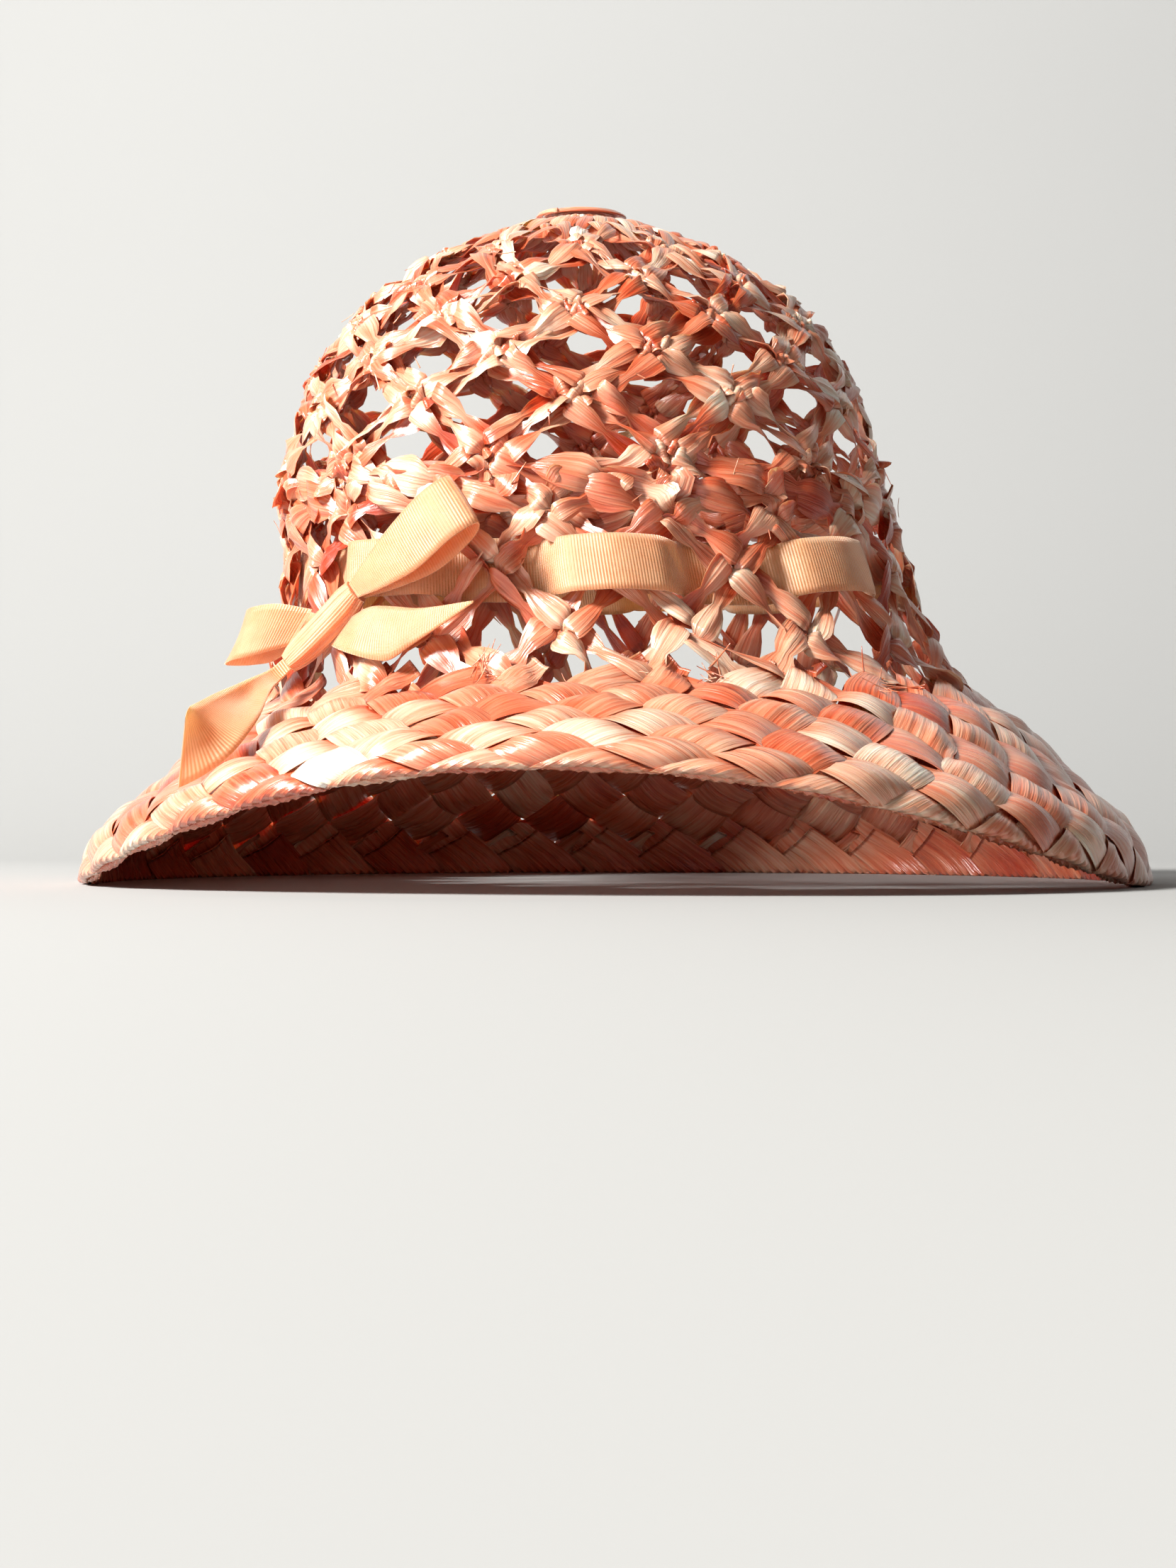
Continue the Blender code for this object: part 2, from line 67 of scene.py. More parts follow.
def curveThrough(table, column):
    # Smooth curve through one column, the same curve as the CAD model's
    keys = np.array([line[0] for line in table], float)
    values = np.array([line[column] for line in table], float)
    slopes = np.gradient(values, keys)

    def read(key):
        key = np.clip(np.asarray(key, float), keys[0], keys[-1])
        i = np.clip(np.searchsorted(keys, key, side="right") - 1, 0, len(keys) - 2)
        span = keys[i + 1] - keys[i]
        s = (key - keys[i]) / span
        start = (1 + 2 * s) * (1 - s) ** 2 * values[i] + s * (1 - s) ** 2 * span * slopes[i]
        end = s * s * (3 - 2 * s) * values[i + 1] - s * s * (1 - s) * span * slopes[i + 1]
        return start + end

    return read


def smooth(x, low, high):
    t = np.clip((np.asarray(x, float) - low) / (high - low), 0, 1)
    return t * t * (3 - 2 * t)


brimOut, brimDown = (curveThrough(hat["brim"], c) for c in (1, 2))
crownUp, crownOut, crownLean, crownNod = (curveThrough(hat["crown"], c) for c in (1, 2, 3, 4))


def swell(angle, middle, reach):
    away = np.abs((angle - middle + math.pi) % (2 * math.pi) - math.pi)
    return (1 + np.cos(math.pi * np.minimum(away / reach, 1))) / 2


def crownSkin(angle, row):
    out = crownOut(row)
    x = hat["crownHalfWidth"] * out * np.sin(angle) - hat["lean"] * crownLean(row)
    y = -hat["crownHalfDepth"] * out * np.cos(angle)
    z = hat["rootHeight"] + (hat["height"] - hat["rootHeight"]) * crownUp(row)
    sag = hat["rootSag"] * swell(angle, hat["sagMiddle"], hat["sagReach"])
    z = z - sag * (1 - smooth(row, hat["rootRow"], hat["ribbonRow"]))
    return np.stack([x, y, z + hat["nod"] * crownNod(row) * y], -1)


def brimSkin(angle, row):
    along = 1 - row / hat["rootRow"]
    root = crownSkin(angle, np.full_like(angle, hat["rootRow"]))
    lift = hat["frontLift"] * swell(angle, hat["liftMiddle"], hat["liftReach"])
    hemX, hemY = hat["hemHalfWidth"] * np.sin(angle), -hat["hemHalfDepth"] * np.cos(angle)
    out = brimOut(along)
    x = root[..., 0] + (hemX - root[..., 0]) * out
    y = root[..., 1] + (hemY - root[..., 1]) * out
    z = root[..., 2] - (root[..., 2] - lift) * brimDown(along)
    return np.stack([x, y, z], -1)


def skin(place, row):
    place, row = np.broadcast_arrays(np.asarray(place, float), np.asarray(row, float))
    turn = hat["turn"] + hat["topTurn"] * smooth(row, *hat["topTurnRows"])
    angle = 2 * math.pi * (place + turn) / hat["strands"]
    onCrown = (row >= hat["rootRow"])[..., None]
    return np.where(onCrown, crownSkin(angle, row), brimSkin(angle, np.clip(row, 0, hat["rootRow"])))


def swayed(rng, key, sizeAndStep):
    size, step = sizeAndStep
    return size * wander(rng, key, step)


def between(ends, t):
    return ends[0] + (ends[1] - ends[0]) * t


def unit(v):
    return v / np.maximum(np.linalg.norm(v, axis=-1, keepdims=True), 1e-9)


def skinNormal(place, row):
    row = np.asarray(row, float)
    low, high = np.clip(row - 0.5, 0.0, 35.0), np.clip(row + 0.5, 0.6, 35.6)
    up = skin(place, high) - skin(place, low)
    level = np.minimum(row, 35.3)    # short of the tip, where all places meet
    ahead = skin(np.asarray(place) + 0.3, level) - skin(np.asarray(place) - 0.3, level)
    return unit(np.cross(ahead, up))


def shell(place, row, depth):
    # depth runs inward from the straw's outside
    return skin(place, row) - np.asarray(depth)[..., None] * skinNormal(place, row)


def wander(rng, x, step):
    # Smooth seeded noise of about unit size along x
    x = np.asarray(x, float)
    cell = (x - x.min()) / step
    knots = rng.normal(0, 1, int(cell.max()) + 3)
    i = cell.astype(int)
    t = cell - i
    t = t * t * (3 - 2 * t)
    return knots[i] * (1 - t) + knots[i + 1] * t


def lengthAlong(line):
    return np.concatenate([[0], np.cumsum(np.linalg.norm(np.diff(line, axis=0), axis=1))])


def acrossRing(half, s):
    # Distance from a strip's middle for each point of its ring, over the top and back below
    return np.concatenate([half[:, None] * s[None, :], half[:, None] * s[None, ::-1]], 1)


def ringsOf(top, bottom):
    return np.concatenate([top, bottom[:, ::-1]], 1)


def newMaterial(name):
    material = bpy.data.materials.new(name)
    material.use_nodes = True
    tree = material.node_tree
    shader = tree.nodes["Principled BSDF"]
    return material, tree, shader


def setShader(shader, values):
    for socket, value in values.items():
        shader.inputs[socket].default_value = value


def node(tree, kind, **values):
    made = tree.nodes.new(kind)
    for key, value in values.items():
        if key in made.inputs:
            made.inputs[key].default_value = value
        else:
            setattr(made, key, value)
    return made


def mathNode(tree, operation, a, b):
    made = node(tree, "ShaderNodeMath", operation=operation)
    for socket, value in zip(made.inputs, (a, b)):
        if isinstance(value, (int, float)):
            socket.default_value = value
        else:
            tree.links.new(value, socket)
    return made.outputs[0]


def stretchedNoise(tree, coords, scale, detail, roughness):
    mapping = node(tree, "ShaderNodeMapping", Scale=scale)
    tree.links.new(coords, mapping.inputs["Vector"])
    noise = node(tree, "ShaderNodeTexNoise", Scale=1.0, Detail=detail, Roughness=roughness)
    tree.links.new(mapping.outputs["Vector"], noise.inputs["Vector"])
    return noise.outputs["Fac"]


def weighted(tree, values, shares):
    total = mathNode(tree, "MULTIPLY", values[0], shares[0])
    for value, share in zip(values[1:], shares[1:]):
        total = mathNode(tree, "ADD", total, mathNode(tree, "MULTIPLY", value, share))
    return total


def colourRamp(tree, factor, stops):
    ramp = node(tree, "ShaderNodeValToRGB")
    elements = ramp.color_ramp.elements
    elements[0].position, elements[0].color = stops[0][0], (*stops[0][1], 1)
    elements[1].position, elements[1].color = stops[-1][0], (*stops[-1][1], 1)
    for position, colour in stops[1:-1]:
        made = elements.new(position)
        made.color = (*colour, 1)
    tree.links.new(factor, ramp.inputs["Fac"])
    return ramp.outputs["Color"]


strawLooks = {
    # noises: scale across and along a strand (blotches: in space), per metre, then detail and roughness
    "fibres": ((1900, 50, 1), 3.0, 0.55),
    "bands": ((520, 26, 1), 2.0, 0.5),
    "blotches": ((70, 70, 70), 2.0, 0.5),
    "shares": (0.42, 0.38, 0.20),     # of fibres, bands and blotches in the colour
    "heights": (0.6, 1.0),            # of fibres and bands in the bump
    "stops": (
        (0.23, (0.44, 0.040, 0.009)), (0.36, (0.59, 0.107, 0.040)), (0.48, (0.69, 0.205, 0.105)),
        (0.58, (0.76, 0.335, 0.205)), (0.69, (0.85, 0.530, 0.375)), (0.82, (0.94, 0.780, 0.640)),
    ),
    "roughness": (0.14, 0.30),        # least, and what the bands add
    "bump": {"Strength": 0.9, "Distance": 0.0007},
    "shader": {
        "Anisotropic": 0.5, "Specular IOR Level": 0.75,
        "Coat Weight": 0.7, "Coat Roughness": 0.30, "Coat IOR": 1.5,
        "Subsurface Weight": 0.35, "Subsurface Radius": (1.0, 0.45, 0.25), "Subsurface Scale": 0.0015,
    },
}


def makeStraw():
    material, tree, shader = newMaterial("straw")
    coords = node(tree, "ShaderNodeUVMap", uv_map="strand").outputs["UV"]
    # The tone attribute holds random tone and, on the plait's strands, painted shade where they dip under
    tone = node(tree, "ShaderNodeAttribute", attribute_name="tone").outputs["Fac"]
    fibres = stretchedNoise(tree, coords, *strawLooks["fibres"])
    bands = stretchedNoise(tree, coords, *strawLooks["bands"])
    place = node(tree, "ShaderNodeTexCoord").outputs["Object"]
    blotches = stretchedNoise(tree, place, *strawLooks["blotches"])
    mixed = mathNode(tree, "ADD", weighted(tree, (fibres, bands, blotches), strawLooks["shares"]), tone)
    colour = colourRamp(tree, mixed, strawLooks["stops"])
    tree.links.new(colour, shader.inputs["Base Color"])
    least, more = strawLooks["roughness"]
    rough = mathNode(tree, "ADD", mathNode(tree, "MULTIPLY", bands, more), least)
    tree.links.new(rough, shader.inputs["Roughness"])
    height = weighted(tree, (fibres, bands), strawLooks["heights"])
    bump = node(tree, "ShaderNodeBump", **strawLooks["bump"])
    tree.links.new(height, bump.inputs["Height"])
    tree.links.new(bump.outputs["Normal"], shader.inputs["Normal"])
    tangent = node(tree, "ShaderNodeTangent", direction_type="UV_MAP", uv_map="strand")
    tree.links.new(tangent.outputs["Tangent"], shader.inputs["Tangent"])
    setShader(shader, strawLooks["shader"])
    return material


ribbonLooks = {
    "ribs": 1300.0,               # crosswise ribs, per metre of ribbon
    "warp": 2900.0,               # threads side by side, per metre across it
    "uneven": ((120, 90, 1), 3.0, 0.6),
    "heights": (0.5, 0.22, 0.5),  # of ribs, warp and unevenness in the bump
    "ribShade": 0.10,
    "stops": ((0.25, (0.77, 0.270, 0.115)), (0.65, (0.85, 0.385, 0.205))),
    "bump": {"Strength": 0.7, "Distance": 0.00014},
    "shader": {
        "Roughness": 0.42, "Specular IOR Level": 0.75,
        "Sheen Weight": 0.8, "Sheen Roughness": 0.35, "Sheen Tint": (1.0, 0.86, 0.72, 1),
        "Subsurface Weight": 0.60, "Subsurface Radius": (1.0, 0.70, 0.45), "Subsurface Scale": 0.003,
    },
}


def waves(tree, coordinate, perMetre):
    return mathNode(tree, "SINE", mathNode(tree, "MULTIPLY", coordinate, 2 * math.pi * perMetre), 0)


def makeRibbon():
    material, tree, shader = newMaterial("ribbon")
    coords = node(tree, "ShaderNodeUVMap", uv_map="strand").outputs["UV"]
    split = node(tree, "ShaderNodeSeparateXYZ")
    tree.links.new(coords, split.inputs[0])
    ribs = waves(tree, split.outputs["Y"], ribbonLooks["ribs"])
    warp = waves(tree, split.outputs["X"], ribbonLooks["warp"])
    uneven = stretchedNoise(tree, coords, *ribbonLooks["uneven"])
    height = weighted(tree, (ribs, warp, uneven), ribbonLooks["heights"])
    bump = node(tree, "ShaderNodeBump", **ribbonLooks["bump"])
    tree.links.new(height, bump.inputs["Height"])
    tree.links.new(bump.outputs["Normal"], shader.inputs["Normal"])
    factor = mathNode(tree, "ADD", mathNode(tree, "MULTIPLY", ribs, ribbonLooks["ribShade"]), uneven)
    colour = colourRamp(tree, factor, ribbonLooks["stops"])
    tree.links.new(colour, shader.inputs["Base Color"])
    setShader(shader, ribbonLooks["shader"])
    return material


straw = makeStraw()
ribbon = makeRibbon()


class Piece:
    # Gathers strips of points into one mesh, with a length-wise UV map and a tone per point

    def __init__(self, name, material):
        self.name = name
        self.material = material
        self.points, self.faces, self.uvs, self.tones, self.creases = [], [], [], [], []
        self.count = 0

    def addTube(self, rings, across, along, tone, creased=()):
        # rings: (steps, ring, 3), closed round the ring and capped with quads at both ends.
        # The creased places of the ring keep a sharp edge along the strip.
        steps, ring, _ = rings.shape
        base = self.count
        index = base + np.arange(steps * ring).reshape(steps, ring)
        a, b = index[:-1], index[1:]
        for place in creased:
            self.creases.append(np.stack([a[:, place], b[:, place]], -1))
        self.faces.append(np.stack([a, np.roll(a, -1, 1), np.roll(b, -1, 1), b], -1).reshape(-1, 4))
        self.points.append(rings.reshape(-1, 3))
        self.uvs.append(np.stack([across, along], -1).reshape(-1, 2))
        self.tones.append(np.broadcast_to(tone, (steps, ring)).reshape(-1))
        half = ring // 2
        caps = []
        for line, flip in ((index[0], True), (index[-1], False)):
            for i in range(half - 1):
                quad = [line[i], line[i + 1], line[-2 - i], line[-1 - i]]
                caps.append(quad if flip else quad[::-1])
        self.faces.append(np.array(caps))
        self.count += steps * ring

    def build(self, nodes):
        points = np.concatenate(self.points)
        faces = np.concatenate(self.faces)
        mesh = bpy.data.meshes.new(self.name)
        mesh.vertices.add(len(points))
        mesh.vertices.foreach_set("co", points.ravel())
        mesh.loops.add(faces.size)
        mesh.loops.foreach_set("vertex_index", faces.ravel())
        mesh.polygons.add(len(faces))
        mesh.polygons.foreach_set("loop_start", np.arange(0, faces.size, 4))
        mesh.polygons.foreach_set("use_smooth", np.ones(len(faces), bool))
        uvLayer = mesh.uv_layers.new(name="strand")
        uvLayer.data.foreach_set("uv", np.concatenate(self.uvs)[faces.ravel()].ravel())
        tone = mesh.attributes.new("tone", "FLOAT", "POINT")
        tone.data.foreach_set("value", np.concatenate(self.tones).astype(np.float32))
        mesh.materials.append(self.material)
        mesh.update(calc_edges=True)
        mesh.validate()
        if self.creases:
            ends = np.zeros(2 * len(mesh.edges), int)
            mesh.edges.foreach_get("vertices", ends)
            keys = np.sort(ends.reshape(-1, 2), 1) @ (len(points), 1)
            wanted = np.concatenate(self.creases) @ (len(points), 1)
            sharp = mesh.attributes.new("sharp_edge", "BOOLEAN", "EDGE")
            sharp.data.foreach_set("value", np.isin(keys, wanted))
        piece = bpy.data.objects.new(self.name, mesh)
        bpy.context.scene.collection.objects.link(piece)
        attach(piece, "root")
        if nodes:
            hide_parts(*nodes)
        print("built", self.name, "triangles", 2 * len(faces))
        return piece


# How the strands gather into bundles: pairs low on the crown, threes above
plait = {
    "pairs": (5.6, 7.1, 12.2, 13.3), "threes": (14.0, 15.6, 31.6, 33.2),
    "pairPull": 0.285, "threePull": 0.60,
}


def gather(family, index, row):
    # Shift of a strand towards the middle of its bundle, in strands
    a, b, c, d = plait["pairs"]
    pairs = smooth(row, a, b) * (1 - smooth(row, c, d))
    a, b, c, d = plait["threes"]
    threes = smooth(row, a, b) * (1 - smooth(row, c, d))
    pairSide = 1 if index % 2 == 0 else -1
    threeSide = (-1, 1, 0)[index % 3] if family == "rising" else (0, -1, 1)[index % 3]
    return pairs * plait["pairPull"] * pairSide + threes * plait["threePull"] * threeSide


rowGrid = np.linspace(-2, 38, 4001)
gathers = {
    (family, index): gather(family, index, rowGrid)
    for family in ("rising", "falling") for index in range(hat["strands"])
}


def gathered(family, index, row):
    return np.interp(row, rowGrid, gathers[(family, index % hat["strands"])])


def crossingRow(risingIndex, k):
    # Row at which a rising strand meets the falling strand k further on
    falling = gathers[("falling", (risingIndex + k) % hat["strands"])]
    rising = gathers[("rising", risingIndex % hat["strands"])]
    gap = rowGrid - k - falling + rising
    gap = np.maximum.accumulate(gap)
    return float(np.interp(0.0, gap, rowGrid))


def crossings(family, index, first, last):
    rows = []
    for k in range(first, last + 1):
        rising = index if family == "rising" else index - k
        rows.append(crossingRow(rising, k))
    return rows


def overSign(family, k):
    # A rising strand runs over at even crossings, a falling one at odd crossings
    return 1 if (k % 2 == 0) == (family == "rising") else -1


def placeOf(family, index, row):
    lean = 0.5 if family == "rising" else -0.5
    return index + lean * row + gathered(family, index, row)


net = {
    "steps": 6,                   # along a strand, from one crossing to the next
    "columns": 7,
    "firstCrossing": {"rising": 7, "falling": 6}, "lastCrossing": 35,
    "middle": 0.0020, "swing": 0.00115, "puff": 0.00060, "thickness": 0.00045,
    "halfWidths": (               # row, widest, narrowest
        (5.0, 0.0060, 0.0040), (6.5, 0.0047, 0.0023), (8.0, 0.0038, 0.0016),
        (10.0, 0.0037, 0.0015), (12.2, 0.0041, 0.0018), (13.6, 0.0052, 0.0028),
        (15.2, 0.0039, 0.0016), (22.0, 0.0036, 0.0014), (28.0, 0.0032, 0.0013),
        (31.0, 0.0029, 0.0013), (33.5, 0.0023, 0.0014), (35.0, 0.0011, 0.0008),
        (36.0, 0.0005, 0.0004),
    ),
    # wanders: size, and the rows over which it changes
    "roll": (math.radians(26), 0.8), "drift": (0.035, 1.7), "widthWander": (0.12, 0.9),
    "widthSpread": (0.88, 1.14),
    "pleat": 0.00060,             # depth of the folds along a strand
    "topRow": 35.2,
    "swingPower": 0.8, "bunchPower": 1.1, "puffPower": 1.6, "edgeThinning": 0.75,
    "slightBelow": 0.003,         # half width below which a strand gets flatter and thinner
    "streaks": (0.45, 0.55),      # how far they follow a strand's own and its widest width
    "tone": 0.03, "toneSpread": 0.05, "toneWander": (0.10, 1.0),
    "paintedUnderShade": 0.065,           # painted shade: coloured darker where a strand dips under
}


foldLooks = {
    "shares": (1.0, 0.7),         # depths of a strand's two folds
    "place": 0.6, "drift": (0.25, 1.2), "depthRows": 0.8, "halfWidth": 0.42,
}


def pleats(rng, key, s, size):
    # Sharp folds that run along a strand and wander across it
    total = np.zeros((len(key), len(s)))
    for share in foldLooks["shares"]:
        at = rng.uniform(-foldLooks["place"], foldLooks["place"]) + swayed(rng, key, foldLooks["drift"])
        height = size * share * wander(rng, key, foldLooks["depthRows"])
        away = np.abs(s[None, :] - at[:, None]) / foldLooks["halfWidth"]
        total = total + height[:, None] * np.maximum(0, 1 - away)
    return total


def toneWithPaintedShade(rng, looks, key, wave):
    # Random tone of a strand and along it, less painted shade where the strand dips under another
    tone = looks["tone"] + rng.normal(0, looks["toneSpread"])
    return tone + swayed(rng, key, looks["toneWander"]) - looks["paintedUnderShade"] * (1 - wave)


def buildNetFamily(name, family, seed):
    rng = np.random.default_rng(seed)
    piece = Piece(name, straw)
    wide, narrow = (curveThrough(net["halfWidths"], c) for c in (1, 2))
    first = net["firstCrossing"][family]
    s = np.linspace(-1, 1, net["columns"])
    for index in range(hat["strands"]):
        rows = crossings(family, index, first, net["lastCrossing"])
        samples, waved = [], []
        for i in range(len(rows) - 1):
            t = np.arange(net["steps"]) / net["steps"]
            samples.append(rows[i] + (rows[i + 1] - rows[i]) * t)
            swing = np.cos(math.pi * t)
            waved.append(overSign(family, first + i) * np.sign(swing) * np.abs(swing) ** net["swingPower"])
        row, wave = np.concatenate(samples), np.concatenate(waved)
        keep = row < net["topRow"]
        row, wave = row[keep], wave[keep]
        toTip = hat["tipRow"] - row
        place = placeOf(family, index, row) + swayed(rng, row, net["drift"]) * smooth(toTip, 0, 6)
        middle, out = skin(place, row), skinNormal(place, row)
        run = unit(np.gradient(middle, axis=0))
        side = unit(np.cross(run, out))
        calm = smooth(toTip, 0.5, 5)
        roll = swayed(rng, row, net["roll"]) * calm
        sideTurned = side * np.cos(roll)[:, None] + out * np.sin(roll)[:, None]
        outTurned = out * np.cos(roll)[:, None] - side * np.sin(roll)[:, None]
        half = narrow(row) + (wide(row) - narrow(row)) * np.abs(wave) ** net["bunchPower"]
        half = half * rng.uniform(*net["widthSpread"]) * (1 + swayed(rng, row, net["widthWander"]))
        depth = net["middle"] - net["swing"] * wave
        centre = middle - out * depth[:, None]
        shrink = np.minimum(half / net["slightBelow"], 1.0)
        bulge = (net["puff"] * wave * shrink)[:, None] * (1 - np.abs(s)[None, :] ** net["puffPower"])
        bulge = bulge + pleats(rng, row, s, net["pleat"]) * (calm * shrink)[:, None]
        edge = (net["thickness"] * shrink)[:, None] * (1 - net["edgeThinning"] * s[None, :] ** 4) / 2
        spread = centre[:, None, :] + sideTurned[:, None, :] * (half[:, None] * s[None, :])[..., None]
        top = spread + outTurned[:, None, :] * (bulge + edge)[..., None]
        bottom = spread + outTurned[:, None, :] * (bulge - edge)[..., None]
        lane = rng.uniform(0, 10)     # each strand reads its own part of the noise
        own, widest = net["streaks"]
        uvAcross = lane + acrossRing(own * half + widest * wide(row), s)
        uvAlong = lane + np.broadcast_to(lengthAlong(middle)[:, None], uvAcross.shape)
        # the tone takes in painted shade where the strand dips under
        tone = toneWithPaintedShade(rng, net, row, wave)
        piece.addTube(ringsOf(top, bottom), uvAcross, uvAlong, tone[:, None], range(net["columns"]))
    return piece.build(["crown"])


brim = {
    "steps": 8, "columns": 9,
    "middle": 0.0015, "swing": 0.00090, "puff": 0.00125, "thickness": 0.00050,
    "halfWide": 0.530, "halfNarrow": 0.490, "pleat": 0.00045,
    "swingPower": 0.75, "bunchPower": 0.8, "puffPower": 1.7, "edgeThinning": 0.7,
    "widthSpread": (0.965, 1.03),
    "rootNarrowing": 0.52,        # share of the width lost where the strands reach the crown
    # wanders: size, and the rows over which it changes
    "widthWander": (0.030, 0.8), "drift": (0.022, 1.5), "tilt": (0.00045, 0.9),
    "firstStep": 0.085,           # rows, up to the first crossing
    "lastCrossing": {"rising": 7, "falling": 6},
    "tuckedEnd": -1.15,           # how far a strand runs up inside after the hem, in rows
    "rowLength": 0.0105, "foldRadius": {"rising": 0.0013, "falling": 0.0005},
    "streakWidth": 0.0075,
    # The last value here is painted shade: how much darker a strand is coloured where it dips under
    "tone": 0.03, "toneSpread": 0.04, "toneWander": (0.10, 1.0), "paintedUnderShade": 0.06,
}


def foldAtHem(row, radius):
    # Where a strand's row runs past the hem it turns round it and goes up inside
    share = radius / brim["rowLength"]
    reach = share * math.pi / 2
    turn = np.clip((reach - row) / (2 * reach), 0, 1) * math.pi
    folded = np.where(row >= reach, row - reach + share, share * (1 - np.sin(turn)))
    folded = np.where(row <= -reach, share - row - reach, folded)
    return folded, radius * (1 - np.cos(turn))


def buildBrimFamily(name, family, seed):
    rng = np.random.default_rng(seed)
    piece = Piece(name, straw)
    s = np.linspace(-1, 1, brim["columns"])
    start = np.arange(brim["tuckedEnd"], 0.99, brim["firstStep"])
    rest = np.arange(1, brim["lastCrossing"][family] + 1e-6, 1 / brim["steps"])
    for index in range(hat["strands"]):
        k = np.concatenate([start, rest])
        near = np.clip(k, 0, None)
        swing = np.cos(math.pi * (near % 1))
        signs = np.array([overSign(family, int(math.floor(x))) for x in near])
        wave = signs * np.sign(swing) * np.abs(swing) ** brim["swingPower"]
        half = between((brim["halfNarrow"], brim["halfWide"]), np.abs(wave) ** brim["bunchPower"])
        half = half * rng.uniform(*brim["widthSpread"]) * (1 + swayed(rng, k, brim["widthWander"]))
        half = half * (1 - brim["rootNarrowing"] * smooth(k, 5.4, 7.0))
        offset = swayed(rng, k, brim["drift"])
        lateral = offset[:, None] + half[:, None] * s[None, :]
        if family == "rising":
            a, b = index + lateral, index + k[:, None] + 0 * lateral
        else:
            b, a = index + lateral, index - k[:, None] + 0 * lateral
        row = b - a
        place = (a + b) / 2 + gathered(family, index, k)[:, None]
        folded, foldDepth = foldAtHem(row, brim["foldRadius"][family])
        bulge = (brim["puff"] * wave)[:, None] * (1 - np.abs(s)[None, :] ** brim["puffPower"])
        bulge = bulge + pleats(rng, k, s, brim["pleat"])
        tilt = swayed(rng, k, brim["tilt"])[:, None] * s[None, :]
        depth = brim["middle"] - (brim["swing"] * wave)[:, None] - bulge + tilt + foldDepth
        edge = brim["thickness"] * (1 - brim["edgeThinning"] * s[None, :] ** 4) / 2
        faceSign = np.where(foldDepth > brim["foldRadius"][family], -1.0, 1.0)
        top = shell(place, folded, depth - edge * faceSign)
        bottom = shell(place, folded, depth + edge * faceSign)
        rings = ringsOf(top, bottom)
        rings[..., 2] = np.maximum(rings[..., 2], 0.0)    # nothing below the floor
        middle = top[:, brim["columns"] // 2]
        lane = rng.uniform(0, 10)
        uvAcross = lane + acrossRing(brim["streakWidth"] * (0.6 + 0.8 * half), s)
        uvAlong = lane + np.broadcast_to(lengthAlong(middle)[:, None], uvAcross.shape)
        # the tone takes in painted shade where the strand dips under
        tone = toneWithPaintedShade(rng, brim, k, wave)
        piece.addTube(rings, uvAcross, uvAlong, tone[:, None], range(brim["columns"]))
    return piece.build(["brim"])


tip = {
    "turns": 3.9, "steps": 160, "radii": (0.0008, 0.0128), "halfWidth": 0.0018,
    "thickness": 0.0005, "depth": (0.0009, -0.0005), "columns": 7,
    "bulge": 0.0005, "pleat": 0.00025, "tone": 0.03, "toneWander": (0.08, 1.0),
    "narrowEnd": (0.88, 0.6),     # from this share of the coil on it loses this share of its width
    "foldChanges": 20,            # how often its folds and tone change along the coil
}


def buildTip():
    # A flat coil of straw closes the tip, over the strands' gathered ends
    rng = np.random.default_rng(16)
    piece = Piece("strawTip", straw)
    s = np.linspace(-1, 1, tip["columns"])
    t = np.linspace(0, 1, tip["steps"])
    place = hat["strands"] * tip["turns"] * t
    top = skin(np.array([0.0]), np.array([hat["tipRow"]]))[0]
    radius = between(tip["radii"], t)
    nearTip = np.linspace(hat["tipRow"], hat["tipRow"] - 3, 400)
    row = np.interp(radius / hat["crownHalfWidth"], crownOut(nearTip), nearTip)
    middle = shell(place, row, between(tip["depth"], t))
    up = np.broadcast_to([0.0, 0.0, 1.0], middle.shape)
    out = unit(up * (1 - t)[:, None] + skinNormal(place, row) * t[:, None])
    side = unit(middle - top - np.sum((middle - top) * out, 1)[:, None] * out)
    narrowFrom, narrowBy = tip["narrowEnd"]
    half = tip["halfWidth"] * (1 - narrowBy * smooth(t, narrowFrom, 1))
    key = t * tip["foldChanges"]
    bulge = tip["bulge"] * (1 - s[None, :] ** 2) + pleats(rng, key, s, tip["pleat"])
    spread = middle[:, None, :] + side[:, None, :] * (half[:, None] * s[None, :])[..., None]
    upper = spread + out[:, None, :] * (bulge + tip["thickness"] / 2)[..., None]
    lower = spread + out[:, None, :] * (bulge - tip["thickness"] / 2)[..., None]
    uvAcross = acrossRing(half, s)
    uvAlong = np.broadcast_to(lengthAlong(middle)[:, None], uvAcross.shape)
    tone = tip["tone"] + swayed(rng, key, tip["toneWander"])
    piece.addTube(ringsOf(upper, lower), uvAcross, uvAlong, tone[:, None], range(tip["columns"]))
    return piece.build([])


fray = {
    # place, row and count of the tufts seen near the brim's root, then single fibres all over
    "tufts": ((-2.6, 6.3, 9), (0.5, 6.2, 8), (3.1, 6.0, 8)),
    "tuftSpread": (0.10, 0.25), "tuftStretch": 1.2,
    "singles": 90, "singleRows": (0.6, 30), "singleStretch": 0.8,
    "length": (0.003, 0.009), "halfWidth": (0.00012, 0.00034), "taper": 0.8, "steps": 6,
    "halfThickness": 0.00008, "stand": 0.0004, "turn": 1.1, "rise": 0.10, "curl": (0.0, 0.30),
    "tone": (0.06, 0.08),
}


